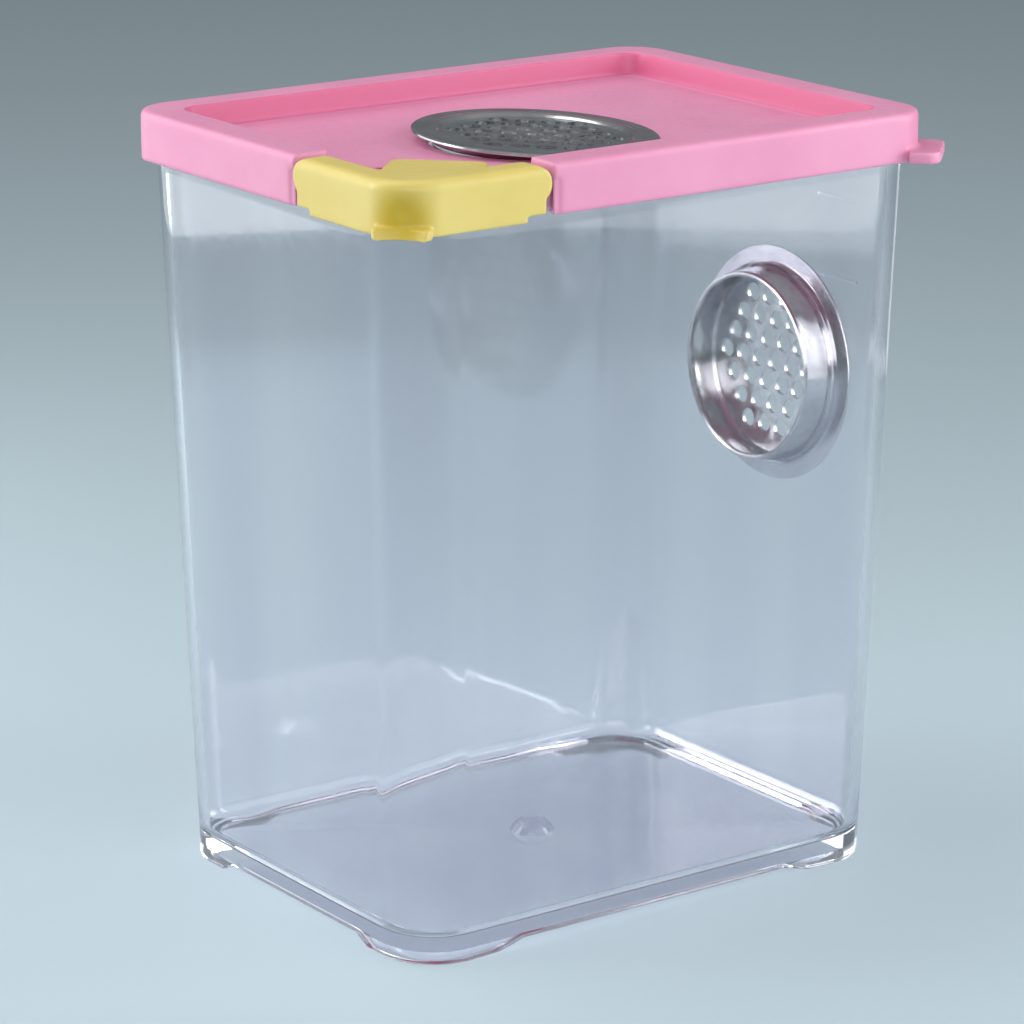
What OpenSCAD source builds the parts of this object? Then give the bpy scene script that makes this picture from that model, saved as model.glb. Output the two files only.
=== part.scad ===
// Ventilated clear box with a push-on lid, a flip-up corner hatch and two pressed vents.
// Origin at the bottom centre of the tub, +X towards the vented end wall, +Z up.

/* [Tub] */
// Outer length at the base
base_l = 99.4; // [96:0.1:103]
// Outer width at the base
base_w = 75.2; // [74:0.1:77]
// Radius of the upright corners
tub_r = 11; // [9.5:0.1:12]
// Wall thickness
wall_t = 2; // [1.6:0.1:2]
// Floor thickness
floor_t = 2.4; // [1.6:0.1:3]
// Height of the tub's rim above the ground
tub_h = 130.2; // [128:0.1:130.2]
// Height of the corner feet
foot_h = 1.6; // [1:0.1:2.5]
// Width of a foot's ridge
foot_w = 3.4; // [2.5:0.1:5]
// Length of a foot's leg from the corner
foot_leg = 16; // [13:0.1:22]
// Radius of the gate nub on the floor
nub_r = 3.85; // [2:0.05:5]
// Height of the gate nub
nub_h = 2.6; // [1:0.1:3]

/* [Lid] */
// Outer length of the lid
lid_l = 109.6; // [109:0.1:112]
// Outer width of the lid
lid_w = 82.6; // [82:0.1:84]
// Corner radius of the lid
lid_r = 8; // [7:0.1:9]
// Height of the lid's top above the ground
top_z = 132.6; // [132.4:0.1:133]
// Height of the outer skirt
skirt_h = 8.4; // [7:0.1:9]
// Thickness of the rim's top, which rests on the tub
rim_t = 2.1; // [1:0.1:2.2]
// Thickness of the outer skirt
skirt_t = 0.8; // [0.7:0.05:1]
// Width of the rim's flat top
rim_w = 6.5; // [6:0.1:7.5]
// Depth of the recessed panel below the rim
recess = 4.1; // [3:0.1:4.3]
// Thickness of the panel
panel_t = 1.4; // [1.2:0.1:1.8]
// Half width of the pull tab
tab_half_w = 6.5; // [5:0.1:8]
// How far the pull tab stands out of the corner
tab_out = 4.3; // [3:0.1:8]
// Thickness of the pull tab
tab_t = 2; // [1.5:0.1:2.5]

/* [Hatch] */
// Length of each arm from the corner
arm = 28.9; // [27:0.1:30]
// Gap between an arm's end and the lid's rim
end_gap = 0.8; // [0.7:0.1:1.5]
// How far the hatch stands proud of the lid's skirt
proud = 0.8; // [0.4:0.1:1]
// Distance from the lid's corner to the hinge axis, along the diagonal
hinge_d = 33.3; // [32:0.1:34]
// Half width of the tongue
tongue_half_w = 8.2; // [6:0.1:9]
// Radius of the hinge pins
pin_r = 0.8; // [0.6:0.05:0.8]

/* [Vents] */
// Radius of a vent's flange
flange_r = 21; // [20:0.1:22]
// Thickness of the flange
flange_t = 0.7; // [0.65:0.05:1]
// Outer radius of the collar at the flange
collar_r = 17.8; // [17:0.1:18]
// Length of the collar behind the flange
collar_h = 7.3; // [5:0.1:8]
// Radius of one perforation
perf_r = 1.65; // [1:0.05:1.8]
// Spacing of the perforations
perf_pitch = 4.43; // [4.2:0.01:4.6]
// Height of the side vent's centre
side_vent_z = 81.7; // [60:0.1:95]
// Sideways place of the side vent's centre
side_vent_y = -1.9; // [-5:0.1:5]
// Lengthways place of the lid vent's centre
lid_vent_x = -3; // [-4:0.1:4]
// Sideways place of the lid vent's centre
lid_vent_y = -5.8; // [-6:0.1:5]
// Tilt of the lid vent, which is not pushed fully home
lid_vent_tilt = 2.8; // [1:0.1:3]

/* [Hidden] */
$fn = 96;
hull_fn = 32;
eps = 0.01;
fit_gap = 0.15;

// The tub's rim fills the lid's channel but for the fit gap
rim_l = lid_l - 2 * (skirt_t + fit_gap);
rim_wd = lid_w - 2 * (skirt_t + fit_gap);
floor_z = foot_h + floor_t;
draft_x = atan((rim_l - base_l) / 2 / (tub_h - foot_h));

skirt_z = top_z - skirt_h;
panel_z = top_z - recess;
panel_inset = rim_w + 0.8;
recess_r = 3;
plug_out = skirt_t + fit_gap + wall_t + 0.3;
plug_in = plug_out + 3;
plug_r = tub_r - wall_t + 0.3;
cut = arm + end_gap;
tab_z = skirt_z + 0.1;

hatch_low = skirt_z - 0.5;
notch_z = skirt_z + 0.6;
notch_l = 3.6;
skirt_end = arm - 1.2;
lobe_r = 3;
plate_z = panel_z + 0.2;
plate_t = 0.85;
hatch_rim_w = 4;
hatch_plate_inset = 8;
hatch_skirt_t = 1.2;
hatch_rim_t = 1.3;
hatch_inner_r = 9;
hatch_foot_inset = plug_out + 3.3;
mouth_diag = 33.5;
plate_diag = mouth_diag + 2;
hinge_z = panel_z - 1.3;
tongue_back = 3;
barrel_r = 1.5;
pocket_front = 2.2;
pocket_back = 3.9;
pocket_low = 3.6;
boss_wall = 1;
bore_r = pin_r + 0.05;
pin_l = 1.8;
lip_t = 1.7;
lip_r = 3.9;
lip_reach = 2.3;

bore_gap = 0.3;
mouth_r = 16.3;
sheet = 0.6;
step_r = 16.4;
lid_vent_lift = flange_r * sin(lid_vent_tilt) - 0.3;
lid_vent_turn = -30;
lid_vent_rows = -8;
step_l = 1.6;
step_t = 0.4;
step_top = top_z - 2.2;

// ---- plain shapes -------------------------------------------------------------------------

module rounded(l, w, r) {
    square([l - 2 * r, w], center = true);
    square([l, w - 2 * r], center = true);
    for (x = [-1, 1], y = [-1, 1])
        translate([x * (l / 2 - r), y * (w / 2 - r)]) circle(r);
}

module slab(l, w, r, z, h) {
    translate([0, 0, z]) linear_extrude(h) rounded(l, w, r);
}

// Block whose sides slope evenly from one rounded rectangle to another
module drafted(l0, w0, r0, z0, l1, w1, r1, z1) {
    hull() {
        slab(l0, w0, r0, z0, eps, $fn = hull_fn);
        slab(l1, w1, r1, z1 - eps, eps, $fn = hull_fn);
    }
}

// Outline of the lid moved inwards by an inset
module lid_outline(inset) {
    rounded(lid_l - 2 * inset, lid_w - 2 * inset, lid_r - inset);
}

// Outline of the lid's inner wall, whose corners follow the tub's, moved inwards by a further inset
module plug_outline(inset) {
    side = plug_out + inset;
    rounded(lid_l - 2 * side, lid_w - 2 * side, plug_r - inset);
}

module at_hatch_corner() {
    translate([-lid_l / 2, -lid_w / 2, 0]) children();
}

// X runs inwards along the diagonal, from the lid's corner
module on_diagonal(d) {
    at_hatch_corner() rotate([0, 0, 45]) translate([d, 0, 0]) children();
}

// ---- tub ----------------------------------------------------------------------------------

module foot_gap(l, w) {
    slope = 2;
    rotate([90, 0, 0]) linear_extrude(w, center = true)
        polygon([[-l / 2 - slope, -1], [l / 2 + slope, -1], [l / 2 - slope, foot_h], [-l / 2 + slope, foot_h]]);
}

module feet() {
    difference() {
        slab(base_l, base_w, tub_r, 0, foot_h + eps);
        slab(base_l - 2 * foot_w, base_w - 2 * foot_w, tub_r - foot_w, -1, foot_h + 1 - eps);
        foot_gap(base_l - 2 * foot_leg, base_w + 2);
        rotate([0, 0, 90]) foot_gap(base_w - 2 * foot_leg, base_l + 2);
    }
}

module gate_nub() {
    dome_r = (nub_r * nub_r + nub_h * nub_h) / (2 * nub_h);
    intersection() {
        translate([0, 0, floor_z + nub_h - dome_r]) sphere(dome_r);
        translate([0, 0, floor_z - 0.5]) cylinder(r = nub_r + 1, h = nub_h + 1);
    }
}

// The wall plane at the side vent's centre, with Z along the wall's outward normal
module on_end_wall() {
    wall_x = base_l / 2 + (side_vent_z - foot_h) * tan(draft_x);
    translate([wall_x, side_vent_y, side_vent_z]) rotate([0, 90 + draft_x, 0]) children();
}

module tub() {
    inner_r = tub_r - wall_t;
    color([0.86, 0.86, 0.92, 0.45])
    union() {
        difference() {
            union() {
                drafted(base_l, base_w, tub_r, foot_h, rim_l, rim_wd, tub_r, tub_h);
                feet();
            }
            drafted(base_l - 2 * wall_t, base_w - 2 * wall_t, inner_r, floor_z,
                    rim_l - 2 * wall_t, rim_wd - 2 * wall_t, inner_r, tub_h + 1);
            on_end_wall() cylinder(r = collar_r + bore_gap, h = 6 * wall_t, center = true);
        }
        gate_nub();
    }
}

// ---- lid ----------------------------------------------------------------------------------

module hinge_boss() {
    half_w = tongue_half_w + pin_l + 1.6;
    low = hinge_z - pocket_low - boss_wall;
    on_diagonal(hinge_d)
        translate([-pocket_front - boss_wall, -half_w, low])
            cube([pocket_front + pocket_back + 2 * boss_wall, 2 * half_w, panel_z - low]);
}

module hinge_pocket() {
    half_w = tongue_half_w + bore_gap;
    on_diagonal(hinge_d) {
        translate([-pocket_front, -half_w, hinge_z - pocket_low])
            cube([pocket_front + pocket_back, 2 * half_w, pocket_low + 5]);
        translate([0, 0, hinge_z]) rotate([90, 0, 0])
            cylinder(r = bore_r, h = 2 * (half_w + pin_l), center = true);
    }
}

// Everything that the rim and skirt give up where the hatch sits
module hatch_seat() {
    ledge_z = top_z - 2.8;
    difference() {
        at_hatch_corner() translate([-5, -5, skirt_z - 5]) cube([cut + 5, cut + 5, skirt_h + 10]);
        translate([0, 0, skirt_z - 6]) linear_extrude(ledge_z - skirt_z + 6) plug_outline(0);
    }
    intersection() {
        at_hatch_corner() translate([-5, -5, panel_z]) cube([cut + 5, cut + 5, 10]);
        translate([0, 0, panel_z]) linear_extrude(10) plug_outline(3);
    }
}

module pour_mouth() {
    edge = plug_in + 0.3;
    translate([0, 0, skirt_z - 5]) linear_extrude(skirt_h + 10) intersection() {
        plug_outline(3.3);
        at_hatch_corner() polygon([[edge, edge], [mouth_diag - edge, edge], [edge, mouth_diag - edge]]);
    }
}

// Shallow step in the skirt's face beside an arm's rounded end
module skirt_step() {
    at_hatch_corner() translate([-1, cut - 1, skirt_z - 1]) cube([1 + step_t, 1 + step_l, step_top - skirt_z + 1]);
}

module pull_tab() {
    tip_r = 2.5;
    tip = lid_r + tab_out;
    translate([lid_l / 2 - lid_r, lid_r - lid_w / 2, tab_z]) rotate([0, 0, -45]) linear_extrude(tab_t) {
        translate([lid_r - 1.1, -tab_half_w]) square([tip - tip_r - lid_r + 1.1, 2 * tab_half_w]);
        translate([lid_r - 1.1, tip_r - tab_half_w]) square([tip - lid_r + 1.1, 2 * (tab_half_w - tip_r)]);
        for (y = [-1, 1]) translate([tip - tip_r, y * (tab_half_w - tip_r)]) circle(tip_r);
    }
}

module rim_and_panel() {
    difference() {
        translate([0, 0, skirt_z]) linear_extrude(skirt_h) lid_outline(0);
        drafted(lid_l - 2 * panel_inset, lid_w - 2 * panel_inset, recess_r, panel_z,
                lid_l - 2 * rim_w, lid_w - 2 * rim_w, recess_r + 1, top_z + 0.2);
        difference() {
            translate([0, 0, skirt_z - 1]) linear_extrude(skirt_h + 1 - rim_t) lid_outline(skirt_t);
            translate([0, 0, skirt_z - 2]) linear_extrude(skirt_h + 4) plug_outline(0);
        }
        translate([0, 0, skirt_z - 1]) linear_extrude(skirt_h + 1 - recess - panel_t) plug_outline(3);
        hatch_seat();
        pour_mouth();
    }
}

module lid() {
    color([0.86, 0.6, 0.71])
    difference() {
        union() {
            rim_and_panel();
            hinge_boss();
            pull_tab();
        }
        hinge_pocket();
        skirt_step();
        // the same step at the other arm's end, mirrored about the diagonal
        at_hatch_corner() mirror([1, -1, 0]) translate([lid_l / 2, lid_w / 2, 0]) skirt_step();
        translate([lid_vent_x, lid_vent_y, panel_z - 5]) cylinder(r = collar_r + bore_gap, h = 10);
    }
}

// ---- pour hatch ---------------------------------------------------------------------------

// Side view of an arm: deep skirt, notch at the end, and a rounded knuckle on top
module arm_profile() {
    translate([-5, hatch_low]) square([skirt_end - notch_l + 5, top_z - hatch_low]);
    translate([-5, notch_z]) square([skirt_end + 5, top_z - lobe_r - notch_z]);
    translate([-5, top_z - lobe_r]) square([arm - lobe_r + 5, lobe_r]);
    translate([arm - lobe_r, top_z - lobe_r]) circle(lobe_r);
}

// Keeps the part of its children inside both arms' side views
module arms_only() {
    intersection() {
        children();
        at_hatch_corner() translate([50, 0, 0]) rotate([90, 0, -90]) mirror([1, 0, 0])
            linear_extrude(60) arm_profile();
        at_hatch_corner() translate([0, 50, 0]) rotate([90, 0, 0])
            linear_extrude(60) arm_profile();
    }
}

module hatch_shell() {
    wide = hatch_plate_inset + 30;
    difference() {
        translate([0, 0, hatch_low]) linear_extrude(top_z - hatch_low) lid_outline(-proud);
        // sloping inner side of the rim
        drafted(lid_l - 2 * hatch_plate_inset, lid_w - 2 * hatch_plate_inset, hatch_inner_r, plate_z + plate_t,
                lid_l - 2 * hatch_rim_w, lid_w - 2 * hatch_rim_w, hatch_inner_r, top_z + 0.2);
        // room for the tub's rim
        translate([0, 0, hatch_low - 1]) linear_extrude(top_z - hatch_low + 1 - hatch_rim_t)
            difference() {
                lid_outline(hatch_skirt_t - proud);
                plug_outline(1.2);
            }
        // room for the lid's inner wall
        translate([0, 0, hatch_low - 1]) linear_extrude(top_z - hatch_low + 1 - 2.4)
            difference() {
                plug_outline(0);
                rounded(lid_l - 2 * hatch_foot_inset, lid_w - 2 * hatch_foot_inset, hatch_inner_r + 2);
            }
        translate([0, 0, hatch_low - 1]) linear_extrude(plate_z - hatch_low + 1) plug_outline(3);
        // everything behind the two arms and the plate
        at_hatch_corner() translate([0, 0, hatch_low - 1]) linear_extrude(20)
            polygon([[wide, hatch_plate_inset], [plate_diag - hatch_plate_inset, hatch_plate_inset],
                     [hatch_plate_inset, plate_diag - hatch_plate_inset], [hatch_plate_inset, wide],
                     [wide, wide]]);
    }
}

module pull_lip() {
    lip_l = 6;
    at_hatch_corner() translate([0, 0, hatch_low - 0.1]) linear_extrude(lip_t)
        difference() {
            union() {
                translate([lip_r - lip_reach, lip_r - lip_reach]) circle(lip_r);
                translate([lip_r - lip_reach, -lip_reach]) square([lip_l - lip_r, lip_r]);
                translate([-lip_reach, lip_r - lip_reach]) square([lip_r, lip_l - lip_r]);
                translate([lip_l - lip_reach, 2 - lip_reach]) circle(2);
                translate([2 - lip_reach, lip_l - lip_reach]) circle(2);
            }
            translate([lid_l / 2, lid_w / 2]) lid_outline(0.2 - proud);
        }
}

module tongue() {
    start = plate_diag / sqrt(2) - 3;
    round_r = 2;
    end = hinge_d + tongue_back;
    on_diagonal(0) {
        translate([0, 0, plate_z]) linear_extrude(plate_t) {
            translate([start, -tongue_half_w]) square([end - round_r - start, 2 * tongue_half_w]);
            translate([start, round_r - tongue_half_w])
                square([end - start, 2 * (tongue_half_w - round_r)]);
            for (y = [-1, 1]) translate([end - round_r, y * (tongue_half_w - round_r)]) circle(round_r);
        }
        // barrel under the tongue, with a pin at each end
        translate([hinge_d, 0, hinge_z]) rotate([90, 0, 0]) {
            cylinder(r = barrel_r, h = 2 * tongue_half_w, center = true);
            cylinder(r = pin_r, h = 2 * (tongue_half_w + pin_l), center = true);
        }
        translate([hinge_d - 0.8, -tongue_half_w, hinge_z])
            cube([1.6, 2 * tongue_half_w, plate_z + plate_t / 2 - hinge_z]);
    }
}

module pour_hatch() {
    color([0.84, 0.79, 0.5])
    union() {
        arms_only() hatch_shell();
        pull_lip();
        tongue();
    }
}

// ---- vents --------------------------------------------------------------------------------

// Pressed vent with its flange's underside at z = 0 and its collar below
module vent() {
    rows = 3;
    face_z = flange_t - sheet - 0.1;
    difference() {
        rotate_extrude()
            polygon([[0, face_z], [step_r - 0.6, face_z], [step_r - 0.2, -collar_h * 0.4],
                     [mouth_r - 0.3, -collar_h], [mouth_r + 0.3, -collar_h],
                     [collar_r, -1.2], [collar_r, 0], [flange_r - 0.3, 0],
                     [flange_r, 0.3], [flange_r - 0.2, flange_t], [step_r + 0.4, flange_t],
                     [step_r, face_z + sheet], [0, face_z + sheet]]);
        for (row = [-rows : rows], i = [0 : 2 * rows - abs(row)])
            translate([perf_pitch * (i - rows + abs(row) / 2), perf_pitch * row * sqrt(3) / 2, -2])
                cylinder(r = perf_r, h = 5, $fn = 32);
    }
}

module lid_vent() {
    color([0.72, 0.72, 0.74])
    translate([lid_vent_x, lid_vent_y, panel_z + lid_vent_lift]) rotate([0, 0, lid_vent_turn])
        rotate([0, lid_vent_tilt, 0]) rotate([0, 0, lid_vent_rows]) vent();
}

module side_vent() {
    color([0.72, 0.72, 0.74])
    on_end_wall() rotate([0, 0, 90]) vent();
}

tub();
lid();
pour_hatch();
lid_vent();
side_vent();
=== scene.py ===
"""Ventilated clear box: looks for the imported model, in metres, in the model's own frame."""
import math

import bmesh
import bpy
from mathutils import Matrix, Vector


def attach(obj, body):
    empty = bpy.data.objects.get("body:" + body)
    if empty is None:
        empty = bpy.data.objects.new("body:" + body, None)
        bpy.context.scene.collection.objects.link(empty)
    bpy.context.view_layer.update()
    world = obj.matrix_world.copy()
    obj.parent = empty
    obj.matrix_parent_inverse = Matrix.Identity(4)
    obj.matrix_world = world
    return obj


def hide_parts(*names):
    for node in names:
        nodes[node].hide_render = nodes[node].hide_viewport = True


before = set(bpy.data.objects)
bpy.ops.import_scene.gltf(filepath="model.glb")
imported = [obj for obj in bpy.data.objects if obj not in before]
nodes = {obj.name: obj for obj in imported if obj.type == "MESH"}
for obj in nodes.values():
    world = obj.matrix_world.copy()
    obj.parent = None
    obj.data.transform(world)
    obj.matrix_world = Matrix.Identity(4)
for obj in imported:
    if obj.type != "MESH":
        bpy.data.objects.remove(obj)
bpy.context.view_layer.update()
scene = bpy.context.scene

MM = 0.001

# Driving sizes, in millimetres, the same as the model's own
BASE_L, BASE_W = 99.4, 75.2
RIM_L, RIM_W = 107.7, 80.7
TUB_H = 130.2
TUB_R = 11.0
WALL_T = 2.0
FOOT_H, FOOT_W, FOOT_LEG = 1.6, 3.4, 16.0
FLOOR_Z = 4.0
NUB_R, NUB_H = 3.85, 2.6
LID_L, LID_W, LID_R = 109.6, 82.6, 8.0
RIM_W_TOP = 6.3
PROUD = 0.8
HINGE_D, HINGE_Z = 33.3, 127.2
TOP_Z = 132.6
PANEL_Z = 128.5
FLANGE_R = 21.0
COLLAR_R = 17.8
SIDE_VENT_Y, SIDE_VENT_Z = -1.9, 81.7
LID_VENT_X, LID_VENT_Y = -3.0, -5.8
LID_VENT_TILT, LID_VENT_TURN, LID_VENT_ROWS = 2.8, -30, -8
PERF_R, PERF_PITCH, PERF_ROWS = 1.65, 4.43, 3
DRAFT_X = math.atan((RIM_L - BASE_L) / 2 / (TUB_H - FOOT_H))
# Middle of the finger scoop on the hatch's corner, where the painted shade is deepest
SCOOP = (-53.0, -39.5, 126.8)
SCOOP_R, SCOOP_DEPTH, SCOOP_Z = 9.0, 0.55, 128.2


# ---- camera, light and stage ---------------------------------------------------------------

def aim(obj, target):
    """Turns a camera or lamp so that it looks at a point."""
    direction = Vector(target) - obj.location
    obj.rotation_euler = direction.to_track_quat("-Z", "Y").to_euler()


def add_camera():
    camera = bpy.data.cameras.new("camera")
    camera.sensor_width = 36
    camera.lens = 148.6
    camera.clip_start = 0.01
    obj = bpy.data.objects.new("camera", camera)
    scene.collection.objects.link(obj)
    obj.location = (-0.4126, -0.5685, 0.2618)
    aim(obj, (-0.0031, 0.0008, 0.0622))
    scene.camera = obj


def add_area(name, place, target, size, power, colour=(1, 1, 1)):
    """Rectangular lamp that faces a target, with its power in watts."""
    lamp = bpy.data.lights.new(name, "AREA")
    lamp.shape = "RECTANGLE"
    lamp.size, lamp.size_y = size
    lamp.energy = power
    lamp.color = colour
    obj = bpy.data.objects.new(name, lamp)
    scene.collection.objects.link(obj)
    obj.location = place
    aim(obj, target)


def add_world():
    """Soft studio: bright overhead, falling off to a dim grey-blue towards the horizon."""
    world = bpy.data.worlds.new("studio")
    world.use_nodes = True
    tree = world.node_tree
    coordinates = tree.nodes.new("ShaderNodeTexCoord")
    split = tree.nodes.new("ShaderNodeSeparateXYZ")
    tree.links.new(coordinates.outputs["Generated"], split.inputs["Vector"])
    sky = ramp(tree, split.outputs["Z"], (0.22, 0.28, 0.30), (0.80, 0.84, 0.87), 0.02, 0.75)
    tree.links.new(sky, tree.nodes["Background"].inputs["Color"])
    tree.nodes["Background"].inputs["Strength"].default_value = 0.42
    scene.world = world


def add_floor():
    """Plain pale sheet that reaches past the edges of every view."""
    mesh = bpy.data.meshes.new("floor")
    half = 9.0
    corners = [(-half, -half, 0), (half, -half, 0), (half, half, 0), (-half, half, 0)]
    mesh.from_pydata(corners, [], [(0, 1, 2, 3)])
    obj = bpy.data.objects.new("floor", mesh)
    scene.collection.objects.link(obj)
    mesh.materials.append(new_material("floor_paper", (0.42, 0.51, 0.55), 0.9)[0])


# ---- materials -----------------------------------------------------------------------------

# Reflections inside clear plastic, after which a ray goes straight on
MOST_REFLECTIONS = 1.5
# Upward part of the normal, below which a face counts as a steep wall
STEEP = 0.85


def new_material(name, colour, roughness):
    """Plain material, with its node tree and its shader."""
    mat = bpy.data.materials.new(name)
    mat.use_nodes = True
    tree = mat.node_tree
    shader = tree.nodes["Principled BSDF"]
    shader.inputs["Base Color"].default_value = (*colour, 1)
    shader.inputs["Roughness"].default_value = roughness
    return mat, tree, shader


def noise(tree, scale, detail=4.0, stretch=(1, 1, 1)):
    """Noise over the object's own coordinates, in metres."""
    coordinates = tree.nodes.new("ShaderNodeTexCoord")
    mapping = tree.nodes.new("ShaderNodeMapping")
    mapping.inputs["Scale"].default_value = stretch
    texture = tree.nodes.new("ShaderNodeTexNoise")
    texture.inputs["Scale"].default_value = scale
    texture.inputs["Detail"].default_value = detail
    tree.links.new(coordinates.outputs["Object"], mapping.inputs["Vector"])
    tree.links.new(mapping.outputs["Vector"], texture.inputs["Vector"])
    return texture.outputs["Fac"]


def ramp(tree, factor, low, high, start=0.3, end=0.7):
    """Colour ramp between two colours, or two grey levels."""
    node = tree.nodes.new("ShaderNodeValToRGB")
    node.color_ramp.elements[0].position = start
    node.color_ramp.elements[1].position = end
    for element, value in zip(node.color_ramp.elements, (low, high)):
        colour = value if isinstance(value, tuple) else (value, value, value)
        element.color = (*colour, 1)
    tree.links.new(factor, node.inputs["Fac"])
    return node.outputs["Color"]


def bump(tree, shader, height, strength, distance):
    node = tree.nodes.new("ShaderNodeBump")
    node.inputs["Strength"].default_value = strength
    node.inputs["Distance"].default_value = distance
    tree.links.new(height, node.inputs["Height"])
    tree.links.new(node.outputs["Normal"], shader.inputs["Normal"])


def moulded_plastic(name, deep, pale, roughness):
    """Satin polypropylene: slightly mottled, slightly translucent, with a fine moulded grain."""
    mat, tree, shader = new_material(name, deep, roughness)
    tree.links.new(ramp(tree, noise(tree, 60, 3), deep, pale), shader.inputs["Base Color"])
    rough = ramp(tree, noise(tree, 900, 5), roughness - 0.06, roughness + 0.08)
    tree.links.new(rough, shader.inputs["Roughness"])
    shader.inputs["Subsurface Weight"].default_value = 0.25
    shader.inputs["Subsurface Radius"].default_value = (1.0, 0.45, 0.5)
    shader.inputs["Subsurface Scale"].default_value = 0.0015
    shader.inputs["IOR"].default_value = 1.49
    bump(tree, shader, noise(tree, 1800, 2), 0.12, 0.00006)
    return mat


def mix_over(tree, share, colour):
    """Mixes a colour over whatever feeds the shader's base colour."""
    base = tree.nodes["Principled BSDF"].inputs["Base Color"]
    mix = tree.nodes.new("ShaderNodeMix")
    mix.data_type = "RGBA"
    tree.links.new(share, mix.inputs["Factor"])
    tree.links.new(base.links[0].from_socket, mix.inputs["A"])
    mix.inputs["B"].default_value = (*colour, 1)
    tree.links.new(mix.outputs["Result"], base)


def paint_shade_near(mat, colour, point, radius):
    """Painted shade: mixes a deeper colour in towards a point, standing in for the shade that gathers in a
    hollow.
    """
    tree = mat.node_tree
    coordinates = tree.nodes.new("ShaderNodeTexCoord")
    distance = tree.nodes.new("ShaderNodeVectorMath")
    distance.operation = "DISTANCE"
    distance.inputs[1].default_value = [c * MM for c in point]
    tree.links.new(coordinates.outputs["Object"], distance.inputs[0])
    reach = tree.nodes.new("ShaderNodeMapRange")
    reach.interpolation_type = "SMOOTHSTEP"
    reach.inputs["From Min"].default_value = radius * MM
    reach.inputs["From Max"].default_value = radius * MM * 0.25
    tree.links.new(distance.outputs["Value"], reach.inputs["Value"])
    mix_over(tree, reach.outputs["Result"], colour)


def math_node(tree, operation, first, second):
    node = tree.nodes.new("ShaderNodeMath")
    node.operation = operation
    for socket, value in zip(node.inputs, (first, second)):
        if isinstance(value, (int, float)):
            socket.default_value = value
        else:
            tree.links.new(value, socket)
    return node.outputs["Value"]


def paint_inner_wall_shade(mat, colour):
    """Painted bounce light: the recess's steep inner walls get a deeper colour painted on, standing in for
    light that goes round inside them.
    """
    tree = mat.node_tree
    coordinates = tree.nodes.new("ShaderNodeTexCoord")
    place = tree.nodes.new("ShaderNodeSeparateXYZ")
    tree.links.new(coordinates.outputs["Object"], place.inputs["Vector"])
    facing = tree.nodes.new("ShaderNodeSeparateXYZ")
    tree.links.new(coordinates.outputs["Normal"], facing.inputs["Vector"])
    along = math_node(tree, "ABSOLUTE", place.outputs["X"], 0)
    across = math_node(tree, "ABSOLUTE", place.outputs["Y"], 0)
    inside_x = math_node(tree, "LESS_THAN", along, (LID_L / 2 - RIM_W_TOP) * MM)
    inside_y = math_node(tree, "LESS_THAN", across, (LID_W / 2 - RIM_W_TOP) * MM)
    steep = math_node(tree, "LESS_THAN", facing.outputs["Z"], STEEP)
    share = math_node(tree, "MULTIPLY", math_node(tree, "MULTIPLY", inside_x, inside_y), steep)
    mix_over(tree, share, colour)


def let_lamps_through(tree, shader, tint):
    """Clear plastic casts hardly any shadow, and light caught inside it gets out again."""
    path = tree.nodes.new("ShaderNodeLightPath")
    caught = math_node(tree, "GREATER_THAN", path.outputs["Glossy Depth"], MOST_REFLECTIONS)
    either = math_node(tree, "MAXIMUM", path.outputs["Is Shadow Ray"], caught)
    see_through = tree.nodes.new("ShaderNodeBsdfTransparent")
    see_through.inputs["Color"].default_value = (*tint, 1)
    mix = tree.nodes.new("ShaderNodeMixShader")
    output = tree.nodes["Material Output"]
    tree.links.new(either, mix.inputs["Fac"])
    tree.links.new(shader.outputs["BSDF"], mix.inputs[1])
    tree.links.new(see_through.outputs["BSDF"], mix.inputs[2])
    tree.links.new(mix.outputs["Shader"], output.inputs["Surface"])


def clear_plastic():
    """Clear rigid plastic with a faint violet cast and fine upright flow lines."""
    mat, tree, shader = new_material("clear_plastic", (0.93, 0.93, 0.97), 0.03)
    let_lamps_through(tree, shader, (0.93, 0.92, 0.95))
    flow = noise(tree, 55, 3, stretch=(1, 1, 0.06))
    tree.links.new(ramp(tree, flow, (0.90, 0.89, 0.94), (0.96, 0.955, 0.98)), shader.inputs["Base Color"])
    scuffs = noise(tree, 420, 6)
    tree.links.new(ramp(tree, scuffs, 0.02, 0.09, 0.45, 0.75), shader.inputs["Roughness"])
    shader.inputs["Transmission Weight"].default_value = 1.0
    shader.inputs["IOR"].default_value = 1.5
    bump(tree, shader, flow, 0.06, 0.0004)
    return mat


def pressed_steel():
    """Bright pressed stainless, with a fine grain and faint stains."""
    mat, tree, shader = new_material("pressed_steel", (0.60, 0.60, 0.61), 0.16)
    shader.inputs["Metallic"].default_value = 1.0
    grain = noise(tree, 700, 6)
    tree.links.new(ramp(tree, grain, 0.12, 0.26), shader.inputs["Roughness"])
    stains = noise(tree, 140, 4)
    tree.links.new(ramp(tree, stains, (0.48, 0.48, 0.49), (0.66, 0.65, 0.65)), shader.inputs["Base Color"])
    bump(tree, shader, grain, 0.05, 0.00003)
    return mat


# ---- mesh tools ----------------------------------------------------------------------------

def smooth_by_angle(mesh, degrees=32):
    """Smooth shading, but for edges sharper than an angle."""
    mesh.shade_smooth()
    mesh.set_sharp_from_angle(angle=math.radians(degrees))


def mesh_object(name, vertices, faces):
    """Object from points in millimetres."""
    mesh = bpy.data.meshes.new(name)
    mesh.from_pydata([Vector(v) * MM for v in vertices], [], faces)
    mesh.validate()
    obj = bpy.data.objects.new(name, mesh)
    scene.collection.objects.link(obj)
    return obj


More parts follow.
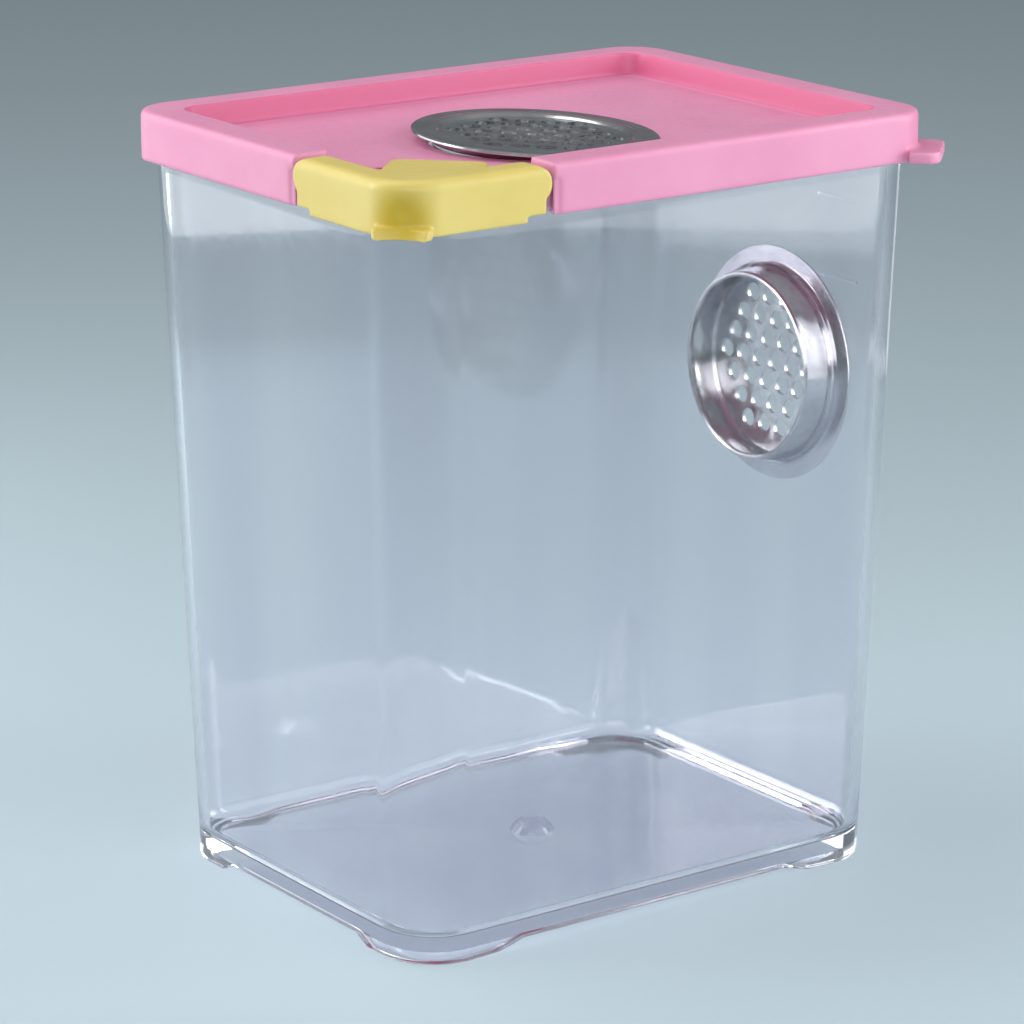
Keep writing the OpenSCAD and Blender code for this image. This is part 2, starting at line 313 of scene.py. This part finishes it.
def rounded_ring(half_l, half_w, radius, arc_steps=12, side_steps=14):
    """Points round a rounded rectangle, always the same number and in the same order."""
    points = []
    for quarter in range(4):
        turn = quarter * math.pi / 2
        sx = 1 if quarter in (0, 3) else -1
        sy = 1 if quarter in (0, 1) else -1
        centre = Vector((sx * (half_l - radius), sy * (half_w - radius)))
        for step in range(arc_steps + 1):
            angle = turn + step / arc_steps * math.pi / 2
            points.append(centre + radius * Vector((math.cos(angle), math.sin(angle))))
        following = rounded_corner_start(half_l, half_w, radius, (quarter + 1) % 4)
        last = points[-1]
        for step in range(1, side_steps):
            points.append(last.lerp(following, step / side_steps))
    return points


def rounded_corner_start(half_l, half_w, radius, quarter):
    sx = 1 if quarter in (0, 3) else -1
    sy = 1 if quarter in (0, 1) else -1
    angle = quarter * math.pi / 2
    centre = Vector((sx * (half_l - radius), sy * (half_w - radius)))
    return centre + radius * Vector((math.cos(angle), math.sin(angle)))


def loft(name, rings):
    """Closed skin over rings of equal length, capped at both ends."""
    count = len(rings[0])
    vertices = [point for ring in rings for point in ring]
    faces = []
    for level in range(len(rings) - 1):
        for i in range(count):
            j = (i + 1) % count
            low, high = level * count, (level + 1) * count
            faces.append((low + i, low + j, high + j, high + i))
    faces.append(tuple(reversed(range(count))))
    top = (len(rings) - 1) * count
    faces.append(tuple(range(top, top + count)))
    return mesh_object(name, vertices, faces)


def lathe(name, profile, segments=128):
    """Solid of revolution about Z from (radius, z) points; the first and last lie on the axis."""
    inner = [(r, z) for r, z in profile if r > 0]
    vertices = [(0, 0, profile[0][1])]
    for r, z in inner:
        for k in range(segments):
            angle = 2 * math.pi * k / segments
            vertices.append((r * math.cos(angle), r * math.sin(angle), z))
    vertices.append((0, 0, profile[-1][1]))
    faces = []
    last = len(vertices) - 1
    top = 1 + (len(inner) - 1) * segments
    for k in range(segments):
        j = (k + 1) % segments
        faces.append((0, 1 + k, 1 + j))
        faces.append((last, top + j, top + k))
        for level in range(len(inner) - 1):
            low, high = 1 + level * segments, 1 + (level + 1) * segments
            faces.append((low + k, high + k, high + j, low + j))
    return mesh_object(name, vertices, faces)


def bmesh_object(name, bm):
    """Object from a bmesh, which is used up."""
    mesh = bpy.data.meshes.new(name)
    bm.to_mesh(mesh)
    bm.free()
    obj = bpy.data.objects.new(name, mesh)
    scene.collection.objects.link(obj)
    return obj


def cylinders(name, places, radius, low, high, segments=28):
    """Several upright cylinders in one cutting mesh."""
    bm = bmesh.new()
    for x, y in places:
        at = Matrix.Translation(Vector((x, y, (low + high) / 2)) * MM)
        bmesh.ops.create_cone(bm, cap_ends=True, segments=segments, radius1=radius * MM,
                              radius2=radius * MM, depth=(high - low) * MM, matrix=at)
    return bmesh_object(name, bm)


def apply_modifiers(obj):
    """Turns the object's modifiers into plain mesh."""
    graph = bpy.context.evaluated_depsgraph_get()
    mesh = bpy.data.meshes.new_from_object(obj.evaluated_get(graph))
    obj.modifiers.clear()
    obj.data = mesh


def carve(obj, cutter):
    """Takes the cutter's volume away from the object, and the cutter out of the scene."""
    modifier = obj.modifiers.new("carve", "BOOLEAN")
    modifier.operation = "DIFFERENCE"
    modifier.solver = "EXACT"
    modifier.object = cutter
    apply_modifiers(obj)
    bpy.data.objects.remove(cutter)


def outward(obj):
    """Makes all the normals point out of the solid."""
    bm = bmesh.new()
    bm.from_mesh(obj.data)
    bmesh.ops.recalc_face_normals(bm, faces=bm.faces)
    bm.to_mesh(obj.data)
    bm.free()


def finish_piece(obj, body, slot, material, *replaced):
    """Gives a piece its material and its body, and hides the CAD nodes that it stands for."""
    obj.data.materials.clear()
    obj.data.materials.append(material)
    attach(obj, body)
    if replaced:
        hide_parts(*replaced)
    return obj


def round_over(mesh, half_l, half_w, corner_r, top, radius):
    """Rounds the outer top edge of a piece whose outline is a rounded rectangle, in millimetres."""
    core = Vector((half_l - corner_r, half_w - corner_r))
    for vertex in mesh.vertices:
        x, y, z = vertex.co / MM
        past = Vector((max(abs(x) - core.x, 0), max(abs(y) - core.y, 0)))
        inwards = radius - (corner_r - past.length)
        upwards = radius - (top - z)
        reach = math.hypot(inwards, upwards)
        if inwards <= 0 or upwards <= 0 or reach <= radius:
            continue
        share = radius / reach
        outline = past.length - inwards * (1 - share)
        past = past * (outline / past.length)
        flat_x = core.x + past.x if past.x > 0 else abs(x)
        flat_y = core.y + past.y if past.y > 0 else abs(y)
        side = Vector((math.copysign(flat_x, x), math.copysign(flat_y, y), top - radius + upwards * share))
        vertex.co = side * MM


def soften(obj, voxel, rounds, edge_rounding):
    """Rounds every edge a little, as moulded plastic comes out of its tool."""
    remesh = obj.modifiers.new("remesh", "REMESH")
    remesh.mode = "VOXEL"
    remesh.voxel_size = voxel * MM
    remesh.adaptivity = 0
    apply_modifiers(obj)
    round_over(obj.data, *edge_rounding)
    smooth = obj.modifiers.new("smooth", "SMOOTH")
    smooth.factor = 0.5
    smooth.iterations = rounds
    apply_modifiers(obj)
    obj.data.shade_smooth()
    return obj


# ---- tub -----------------------------------------------------------------------------------

def tub_ring(z, inset, height=None):
    """Ring of the drafted outer wall at a height, moved inwards by an inset."""
    share = (z - FOOT_H) / (TUB_H - FOOT_H)
    half_l = (BASE_L + (RIM_L - BASE_L) * share) / 2 - inset
    half_w = (BASE_W + (RIM_W - BASE_W) * share) / 2 - inset
    ring = rounded_ring(half_l, half_w, max(TUB_R - inset, 1.0))
    level = height or (lambda x, y: z)
    return [(p.x, p.y, level(p.x, p.y)) for p in ring]


def foot_level(lift):
    """Height of the tub's lower edge: on the ground at the corners, raised between the feet."""
    def level(x, y):
        along_x = BASE_L / 2 - abs(x)
        along_y = BASE_W / 2 - abs(y)
        past = max(along_x, along_y) - FOOT_LEG
        if along_x > FOOT_W + 1 and along_y > FOOT_W + 1:
            past = 0
        share = min(max(past / 2.5, 0), 1)
        return lift + FOOT_H * share * share * (3 - 2 * share)
    return level


def fillet(radius, steps, start, end):
    """(sideways, upwards) offsets along a quarter arc between two angles in degrees."""
    for step in range(steps + 1):
        angle = math.radians(start + (end - start) * step / steps)
        yield radius * math.cos(angle), radius * math.sin(angle)


def circle_like(ring, radius, z):
    """Circle with as many points as a ring, each in the same direction from the middle."""
    return [(radius * x / math.hypot(x, y), radius * y / math.hypot(x, y), z) for x, y, _ in ring]


def make_tub(material):
    """Tub as one skin: under the floor, up the outside, over the rim, down inside to the nub."""
    inner_r, base_edge, rim_edge, hole_gap = 2.6, 0.7, 0.6, 0.3
    rings = [tub_ring(FOOT_H, FOOT_W + 0.3)]
    rings.append(tub_ring(FOOT_H, FOOT_W, foot_level(0.4)))
    rings.append(tub_ring(FOOT_H, FOOT_W - 0.5, foot_level(0)))
    for side, up in fillet(base_edge, 4, -90, 0):
        rings.append(tub_ring(FOOT_H, base_edge - side, foot_level(base_edge + up)))
    rings.append(tub_ring(FOOT_H + 2.2, 0))
    for z in range(12, 128, 10):
        rings.append(tub_ring(z, 0))
    for side, up in fillet(rim_edge, 3, 0, 90):
        rings.append(tub_ring(TUB_H - rim_edge + up, rim_edge - side))
    for side, up in fillet(rim_edge, 3, 90, 180):
        rings.append(tub_ring(TUB_H - rim_edge + up, WALL_T - rim_edge - side))
    for z in range(122, 10, -10):
        rings.append(tub_ring(z, WALL_T))
    for side, up in fillet(inner_r, 6, 0, -90):
        rings.append(tub_ring(FLOOR_Z + inner_r + up, WALL_T + inner_r - side))
    floor_edge = rings[-1]
    rings.append(circle_like(floor_edge, NUB_R + 0.8, FLOOR_Z))
    dome_r = (NUB_R ** 2 + NUB_H ** 2) / (2 * NUB_H)
    for step in range(9):
        z = NUB_H * math.sin(step / 8 * math.pi / 2) * 0.985
        reach = math.sqrt(dome_r ** 2 - (dome_r - NUB_H + z) ** 2)
        rings.append(circle_like(floor_edge, reach, FLOOR_Z + z))
    tub = loft("clear_tub", rings)
    outward(tub)
    hole = cylinders("hole", [(0, 0)], COLLAR_R + hole_gap, -8, 8, 96)
    hole.data.transform(end_wall_place())
    carve(tub, hole)
    smooth_by_angle(tub.data, 40)
    return finish_piece(tub, "tub", "clear_plastic", material, "tub")


def make_ticks(material):
    """Plain raised measuring ticks on the outside of the vented end wall."""
    tick_t, tick_w = 0.18, 0.5
    bars = [(-19.0, 100.0, 5.0), (-17.5, 114.0, 5.0)]
    bm = bmesh.new()
    for y, z, half in bars:
        x = BASE_L / 2 + (z - FOOT_H) * math.tan(DRAFT_X)
        at = Matrix.Translation(Vector((x, y, z)) * MM) @ Matrix.Rotation(DRAFT_X, 4, "Y")
        at = at @ Matrix.Diagonal((2 * tick_t * MM, 2 * half * MM, tick_w * MM, 1))
        bmesh.ops.create_cube(bm, size=1, matrix=at)
    bmesh.ops.bevel(bm, geom=bm.edges, offset=0.12 * MM, segments=2, affect="EDGES")
    obj = bmesh_object("measuring_ticks", bm)
    smooth_by_angle(obj.data)
    return finish_piece(obj, "tub", "clear_plastic", material)


# ---- vents ---------------------------------------------------------------------------------

def end_wall_place():
    """The end wall's plane at the side vent, with Z along its outward normal."""
    wall_x = BASE_L / 2 + (SIDE_VENT_Z - FOOT_H) * math.tan(DRAFT_X)
    place = Matrix.Translation(Vector((wall_x, SIDE_VENT_Y, SIDE_VENT_Z)) * MM)
    return place @ Matrix.Rotation(math.pi / 2 + DRAFT_X, 4, "Y") @ Matrix.Rotation(math.pi / 2, 4, "Z")


def lid_vent_place():
    """The lid vent's frame, tilted so that one side of its flange stands off the panel."""
    pressed_in = 0.3
    lift = FLANGE_R * math.sin(math.radians(LID_VENT_TILT)) - pressed_in
    place = Matrix.Translation(Vector((LID_VENT_X, LID_VENT_Y, PANEL_Z + lift)) * MM)
    turn = Matrix.Rotation(math.radians(LID_VENT_TURN), 4, "Z")
    tilt = Matrix.Rotation(math.radians(LID_VENT_TILT), 4, "Y")
    return place @ turn @ tilt @ Matrix.Rotation(math.radians(LID_VENT_ROWS), 4, "Z")


def perforations():
    """Centres of the round holes, in a hexagon of staggered rows."""
    for row in range(-PERF_ROWS, PERF_ROWS + 1):
        for i in range(2 * PERF_ROWS + 1 - abs(row)):
            x = PERF_PITCH * (i - PERF_ROWS + abs(row) / 2)
            yield x, PERF_PITCH * row * math.sqrt(3) / 2


# A vent's section, (radius, height) from the axis over the flange and round the collar
VENT_PROFILE = [
    (0, 0.1), (15.0, 0.1), (15.6, 0.03), (15.95, 0.08), (16.25, 0.36), (16.6, 0.62), (17.1, 0.69),
    (17.7, 0.62), (18.6, 0.52), (19.6, 0.54), (20.2, 0.63), (20.6, 0.62), (20.85, 0.48),
    (20.97, 0.26), (20.88, 0.06), (20.5, 0.02),
    (18.5, 0.02), (17.95, -0.12), (17.72, -0.5), (17.66, -1.4), (17.3, -1.9), (17.25, -3.2),
    (16.95, -3.8), (16.9, -6.2), (16.85, -6.8), (16.6, -7.15), (16.25, -7.22), (15.95, -7.05),
    (15.85, -6.7), (16.05, -6.3), (16.25, -5.6), (16.3, -3.8), (16.65, -3.1), (16.75, -1.4),
    (16.4, -0.8), (15.6, -0.5), (0, -0.48),
]


def make_vent(name, place, body, material, node):
    vent = lathe(name, VENT_PROFILE)
    outward(vent)
    holes = cylinders("holes", list(perforations()), PERF_R, -3, 3)
    carve(vent, holes)
    vent.data.transform(place)
    smooth_by_angle(vent.data, 30)
    return finish_piece(vent, body, "pressed_steel", material, node)


# ---- lid and hatch -------------------------------------------------------------------------

def on_diagonal(inwards, z):
    """Frame on the hatch's diagonal, X running inwards from the lid's corner."""
    corner = Matrix.Translation(Vector((-LID_L / 2, -LID_W / 2, z)) * MM)
    return corner @ Matrix.Rotation(math.radians(45), 4, "Z") @ Matrix.Translation((inwards * MM, 0, 0))


def pocket_room():
    """Box that widens the lid's hidden hinge pocket."""
    length, width, height = 5.5, 17.0, 5.2
    behind_hinge, below_panel = 1.6, 2.4
    bm = bmesh.new()
    size = Matrix.Diagonal((length * MM, width * MM, height * MM, 1))
    place = on_diagonal(HINGE_D + behind_hinge, PANEL_Z - below_panel)
    bmesh.ops.create_cube(bm, size=1, matrix=place @ size)
    return bmesh_object("pocket", bm)


def make_lid(material):
    lid = bpy.data.objects.new("pink_lid", nodes["lid"].data.copy())
    scene.collection.objects.link(lid)
    # the softened hatch turns in a pocket and bores that are a little roomier than the CAD's
    carve(lid, pocket_room())
    bore_r, reach = 1.25, 10.4
    bores = cylinders("bores", [(0, 0)], bore_r, -reach, reach)
    bores.data.transform(on_diagonal(HINGE_D, HINGE_Z) @ Matrix.Rotation(math.pi / 2, 4, "X"))
    carve(lid, bores)
    edge = (LID_L / 2, LID_W / 2, LID_R, TOP_Z, 1.1)
    soften(lid, voxel=0.3, rounds=6, edge_rounding=edge)
    return finish_piece(lid, "lid", "pink_plastic", material, "lid")


def finger_scoop():
    """Ball that cuts a shallow hollow above the pull lip, where a fingertip goes."""
    corner = LID_R * (1 - math.sqrt(0.5))
    outwards = SCOOP_R - SCOOP_DEPTH
    x = -(LID_L / 2 - corner) - outwards * math.sqrt(0.5)
    y = -(LID_W / 2 - corner) - outwards * math.sqrt(0.5)
    bm = bmesh.new()
    bmesh.ops.create_uvsphere(bm, u_segments=64, v_segments=40, radius=SCOOP_R * MM)
    ball = bmesh_object("scoop", bm)
    ball.data.transform(Matrix.Translation(Vector((x - PROUD, y - PROUD, SCOOP_Z)) * MM))
    return ball


def make_hatch(material):
    hatch = bpy.data.objects.new("yellow_hatch", nodes["pour_hatch"].data.copy())
    scene.collection.objects.link(hatch)
    carve(hatch, finger_scoop())
    edge = (LID_L / 2 + PROUD, LID_W / 2 + PROUD, LID_R + PROUD, TOP_Z, 1.7)
    soften(hatch, voxel=0.2, rounds=18, edge_rounding=edge)
    return finish_piece(hatch, "pour_hatch", "yellow_plastic", material, "pour_hatch")


# ---- assembly ------------------------------------------------------------------------------

scene.view_settings.view_transform = "Standard"
add_camera()
add_world()
add_floor()
add_area("key", (-0.3, 0.25, 0.9), (0, 0, 0.07), (0.6, 0.6), 2.6)
add_area("front", (-0.55, -0.8, 0.5), (0, 0, 0.09), (0.8, 0.6), 4.2)
add_area("left_box", (-0.62, 0.42, 0.32), (0, 0, 0.07), (0.22, 0.55), 2.2)
add_area("right_box", (0.60, -0.44, 0.32), (0, 0, 0.07), (0.22, 0.55), 2.2, (0.95, 0.98, 1))
add_area("left_card", (-0.225, 0.24, 0.2), (-0.05, 0, 0.1), (0.4, 0.36), 0.7, (0.95, 0.98, 1))
add_area("right_card", (0.17, -0.29, 0.2), (0, -0.04, 0.1), (0.4, 0.36), 0.7, (0.95, 0.98, 1))

pink = moulded_plastic("pink_plastic", (0.70, 0.26, 0.42), (0.74, 0.30, 0.46), 0.4)
# deeper pink painted on the recess's inner walls, for light bouncing inside them
paint_inner_wall_shade(pink, (0.66, 0.14, 0.28))
yellow = moulded_plastic("yellow_plastic", (0.64, 0.50, 0.12), (0.70, 0.57, 0.17), 0.36)
# the yellow turns deeper towards the finger scoop: painted shade of the hollow
paint_shade_near(yellow, (0.56, 0.40, 0.03), SCOOP, 6.5)
clear = clear_plastic()
steel = pressed_steel()

make_tub(clear)
make_ticks(clear)
make_lid(pink)
make_hatch(yellow)
make_vent("top_vent", lid_vent_place(), "lid", steel, "lid_vent")
make_vent("end_vent", end_wall_place(), "tub", steel, "side_vent")
